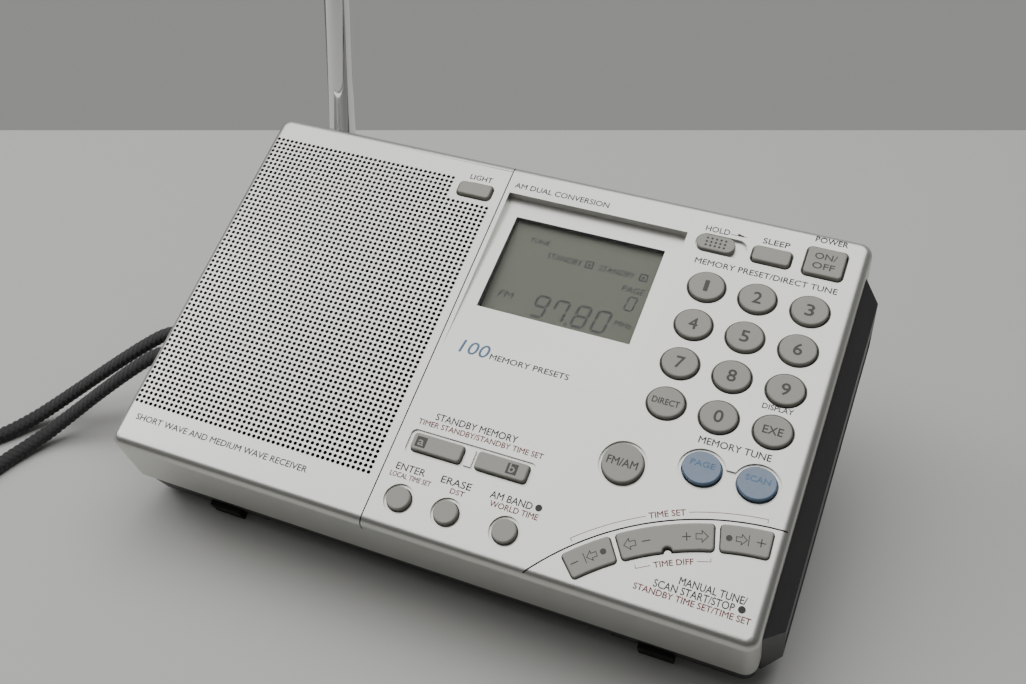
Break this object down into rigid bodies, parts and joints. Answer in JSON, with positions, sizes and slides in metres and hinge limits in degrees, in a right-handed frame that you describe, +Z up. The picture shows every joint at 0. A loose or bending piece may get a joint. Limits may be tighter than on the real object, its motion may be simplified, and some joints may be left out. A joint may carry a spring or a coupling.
{
  "type": "shortwave receiver",
  "caption": "Portable world-band radio receiver with telescopic antenna, keypad tuning and a rear stand.",
  "frame": {"origin": "middle of the base of the leaning receiver, on the table", "axes": "+Z up, +X to the right seen from the front, -Y towards the user"},
  "size_m": [0.2859, 0.1892, 0.2516],
  "materials": {
    "silver_shell": "satin silver paint",
    "black_case": "fine spark texture",
    "grey_key": "satin",
    "blue_key": "clear gloss over blue",
    "window": "clear polished",
    "lcd": "matte polariser",
    "chrome_tube": "polished",
    "steel": "zinc plated",
    "board": "solder mask",
    "mat": "silicone",
    "speaker_metal": "black zinc",
    "cone": "paper",
    "ferrite": "sintered",
    "cell": "printed sleeve",
    "braid": "braided nylon"
  },
  "bodies": {
    "case": {"speaker_grille": "silver_shell", "control_panel": "silver_shell", "rear_cabinet": "black_case", "rear_feet": "black_case", "side_cover": "black_case", "case_screws": "steel", "display_window": "window", "lcd_module": "lcd", "key_mat": "mat", "main_board": "board", "ferrite_antenna": "ferrite", "speaker_frame": "speaker_metal", "speaker_cone": "cone", "batteries": "cell", "battery_contacts": "steel", "jack_sockets": "black_case", "strap_anchor": "steel", "hand_strap": "braid"},
    "light_button": {"light_button": "grey_key"},
    "sleep_button": {"sleep_button": "grey_key"},
    "power_button": {"power_button": "grey_key"},
    "band_button": {"band_button": "grey_key"},
    "page_button": {"page_button": "blue_key"},
    "scan_button": {"scan_button": "blue_key"},
    "standby_a_button": {"standby_a_button": "grey_key"},
    "standby_b_button": {"standby_b_button": "grey_key"},
    "enter_button": {"enter_button": "grey_key"},
    "erase_button": {"erase_button": "grey_key"},
    "am_band_button": {"am_band_button": "grey_key"},
    "key_1": {"key_1": "grey_key"},
    "key_2": {"key_2": "grey_key"},
    "key_3": {"key_3": "grey_key"},
    "key_4": {"key_4": "grey_key"},
    "key_5": {"key_5": "grey_key"},
    "key_6": {"key_6": "grey_key"},
    "key_7": {"key_7": "grey_key"},
    "key_8": {"key_8": "grey_key"},
    "key_9": {"key_9": "grey_key"},
    "key_direct": {"key_direct": "grey_key"},
    "key_0": {"key_0": "grey_key"},
    "key_exe": {"key_exe": "grey_key"},
    "tune_up_key": {"tune_up_key": "grey_key"},
    "tune_down_key": {"tune_down_key": "grey_key"},
    "tune_rocker": {"tune_rocker": "grey_key"},
    "hold_switch": {"hold_switch": "grey_key"},
    "tone_switch": {"tone_switch": "black_case"},
    "mode_switch": {"mode_switch": "black_case"},
    "sideband_switch": {"sideband_switch": "black_case"},
    "volume_wheel": {"volume_wheel": "black_case"},
    "attenuator_wheel": {"attenuator_wheel": "black_case"},
    "battery_door": {"battery_door": "black_case"},
    "stand": {"stand": "black_case"},
    "antenna_base": {"antenna_base": "chrome_tube"},
    "antenna_section_1": {"antenna_section_1": "chrome_tube"},
    "antenna_section_2": {"antenna_section_2": "chrome_tube"},
    "antenna_section_3": {"antenna_section_3": "chrome_tube"},
    "antenna_section_4": {"antenna_section_4": "chrome_tube"},
    "antenna_section_5": {"antenna_section_5": "chrome_tube"},
    "antenna_section_6": {"antenna_section_6": "chrome_tube"},
    "antenna_section_7": {"antenna_section_7": "chrome_tube"}
  },
  "joints": [
    {"name": "light_button_press", "type": "slide", "parent": "case", "child": "light_button", "axis": [0, 0.4179, -0.9085], "range_m": [0, 0.0006], "stiffness_N_per_m": 900},
    {"name": "sleep_button_press", "type": "slide", "parent": "case", "child": "sleep_button", "axis": [0, 0.4179, -0.9085], "range_m": [0, 0.0006], "stiffness_N_per_m": 900},
    {"name": "power_button_press", "type": "slide", "parent": "case", "child": "power_button", "axis": [0, 0.4179, -0.9085], "range_m": [0, 0.0006], "stiffness_N_per_m": 900},
    {"name": "band_button_press", "type": "slide", "parent": "case", "child": "band_button", "axis": [0, 0.4179, -0.9085], "range_m": [0, 0.0006], "stiffness_N_per_m": 900},
    {"name": "page_button_press", "type": "slide", "parent": "case", "child": "page_button", "axis": [0, 0.4179, -0.9085], "range_m": [0, 0.0006], "stiffness_N_per_m": 900},
    {"name": "scan_button_press", "type": "slide", "parent": "case", "child": "scan_button", "axis": [0, 0.4179, -0.9085], "range_m": [0, 0.0006], "stiffness_N_per_m": 900},
    {"name": "standby_a_button_press", "type": "slide", "parent": "case", "child": "standby_a_button", "axis": [0, 0.4179, -0.9085], "range_m": [0, 0.0006], "stiffness_N_per_m": 900},
    {"name": "standby_b_button_press", "type": "slide", "parent": "case", "child": "standby_b_button", "axis": [0, 0.4179, -0.9085], "range_m": [0, 0.0006], "stiffness_N_per_m": 900},
    {"name": "enter_button_press", "type": "slide", "parent": "case", "child": "enter_button", "axis": [0, 0.4179, -0.9085], "range_m": [0, 0.0006], "stiffness_N_per_m": 900},
    {"name": "erase_button_press", "type": "slide", "parent": "case", "child": "erase_button", "axis": [0, 0.4179, -0.9085], "range_m": [0, 0.0006], "stiffness_N_per_m": 900},
    {"name": "am_band_button_press", "type": "slide", "parent": "case", "child": "am_band_button", "axis": [0, 0.4179, -0.9085], "range_m": [0, 0.0006], "stiffness_N_per_m": 900},
    {"name": "key_1_press", "type": "slide", "parent": "case", "child": "key_1", "axis": [0, 0.4179, -0.9085], "range_m": [0, 0.0006], "stiffness_N_per_m": 900},
    {"name": "key_2_press", "type": "slide", "parent": "case", "child": "key_2", "axis": [0, 0.4179, -0.9085], "range_m": [0, 0.0006], "stiffness_N_per_m": 900},
    {"name": "key_3_press", "type": "slide", "parent": "case", "child": "key_3", "axis": [0, 0.4179, -0.9085], "range_m": [0, 0.0006], "stiffness_N_per_m": 900},
    {"name": "key_4_press", "type": "slide", "parent": "case", "child": "key_4", "axis": [0, 0.4179, -0.9085], "range_m": [0, 0.0006], "stiffness_N_per_m": 900},
    {"name": "key_5_press", "type": "slide", "parent": "case", "child": "key_5", "axis": [0, 0.4179, -0.9085], "range_m": [0, 0.0006], "stiffness_N_per_m": 900},
    {"name": "key_6_press", "type": "slide", "parent": "case", "child": "key_6", "axis": [0, 0.4179, -0.9085], "range_m": [0, 0.0006], "stiffness_N_per_m": 900},
    {"name": "key_7_press", "type": "slide", "parent": "case", "child": "key_7", "axis": [0, 0.4179, -0.9085], "range_m": [0, 0.0006], "stiffness_N_per_m": 900},
    {"name": "key_8_press", "type": "slide", "parent": "case", "child": "key_8", "axis": [0, 0.4179, -0.9085], "range_m": [0, 0.0006], "stiffness_N_per_m": 900},
    {"name": "key_9_press", "type": "slide", "parent": "case", "child": "key_9", "axis": [0, 0.4179, -0.9085], "range_m": [0, 0.0006], "stiffness_N_per_m": 900},
    {"name": "key_direct_press", "type": "slide", "parent": "case", "child": "key_direct", "axis": [0, 0.4179, -0.9085], "range_m": [0, 0.0006], "stiffness_N_per_m": 900},
    {"name": "key_0_press", "type": "slide", "parent": "case", "child": "key_0", "axis": [0, 0.4179, -0.9085], "range_m": [0, 0.0006], "stiffness_N_per_m": 900},
    {"name": "key_exe_press", "type": "slide", "parent": "case", "child": "key_exe", "axis": [0, 0.4179, -0.9085], "range_m": [0, 0.0006], "stiffness_N_per_m": 900},
    {"name": "tune_up_key_press", "type": "slide", "parent": "case", "child": "tune_up_key", "axis": [0, 0.4179, -0.9085], "range_m": [0, 0.0006], "stiffness_N_per_m": 900},
    {"name": "tune_down_key_press", "type": "slide", "parent": "case", "child": "tune_down_key", "axis": [0, 0.4179, -0.9085], "range_m": [0, 0.0006], "stiffness_N_per_m": 900},
    {"name": "tune_rock", "type": "hinge", "parent": "case", "child": "tune_rocker", "pos_m": [0.06345, -0.05364, 0.03853], "axis": [-0.4067, 0.83, 0.3817], "range_deg": [-2.5, 2.5], "stiffness_Nm_per_rad": 0.2},
    {"name": "hold_slide", "type": "slide", "parent": "case", "child": "hold_switch", "axis": [1, 0, 0], "range_m": [0, 0.003]},
    {"name": "tone_switch_slide", "type": "slide", "parent": "case", "child": "tone_switch", "axis": [0, 0.9085, 0.4179], "range_m": [-0.0018, 0.0018]},
    {"name": "mode_switch_slide", "type": "slide", "parent": "case", "child": "mode_switch", "axis": [0, 0.9085, 0.4179], "range_m": [-0.0018, 0.0018]},
    {"name": "sideband_switch_slide", "type": "slide", "parent": "case", "child": "sideband_switch", "axis": [0, 0.9085, 0.4179], "range_m": [-0.0018, 0.0018]},
    {"name": "volume_wheel_turn", "type": "hinge", "parent": "case", "child": "volume_wheel", "pos_m": [0.08626, -0.03944, 0.01952], "axis": [0, -0.4179, 0.9085], "range_deg": [-140, 140]},
    {"name": "attenuator_wheel_turn", "type": "hinge", "parent": "case", "child": "attenuator_wheel", "pos_m": [0.08626, 0.02143, 0.04752], "axis": [0, -0.4179, 0.9085], "range_deg": [-140, 140]},
    {"name": "door_slide", "type": "slide", "parent": "case", "child": "battery_door", "axis": [0, -0.9085, -0.4179], "range_m": [0, 0.032]},
    {"name": "stand_fold", "type": "hinge", "parent": "case", "child": "stand", "pos_m": [-0.00104, 0.00978, 0.03456], "axis": [1, 0, 0], "range_deg": [-90, 0]},
    {"name": "antenna_swivel", "type": "hinge", "parent": "case", "child": "antenna_base", "pos_m": [-0.08384, 0.04951, 0.05933], "axis": [0, 0.9085, 0.4179], "continuous": true},
    {"name": "antenna_tilt", "type": "hinge", "parent": "antenna_base", "child": "antenna_section_1", "pos_m": [-0.08384, 0.04951, 0.05933], "axis": [-1, 0, 0], "range_deg": [-30.5, 59.5]},
    {"name": "antenna_pull_2", "type": "slide", "parent": "antenna_section_1", "child": "antenna_section_2", "axis": [0, 0.1011, 0.9949], "range_m": [0, 0.15]},
    {"name": "antenna_pull_3", "type": "slide", "parent": "antenna_section_2", "child": "antenna_section_3", "axis": [0, 0.1011, 0.9949], "range_m": [0, 0.15]},
    {"name": "antenna_pull_4", "type": "slide", "parent": "antenna_section_3", "child": "antenna_section_4", "axis": [0, 0.1011, 0.9949], "range_m": [0, 0.15]},
    {"name": "antenna_pull_5", "type": "slide", "parent": "antenna_section_4", "child": "antenna_section_5", "axis": [0, 0.1011, 0.9949], "range_m": [0, 0.15]},
    {"name": "antenna_pull_6", "type": "slide", "parent": "antenna_section_5", "child": "antenna_section_6", "axis": [0, 0.1011, 0.9949], "range_m": [0, 0.15]},
    {"name": "antenna_pull_7", "type": "slide", "parent": "antenna_section_6", "child": "antenna_section_7", "axis": [0, 0.1011, 0.9949], "range_m": [0, 0.15]}
  ]
}
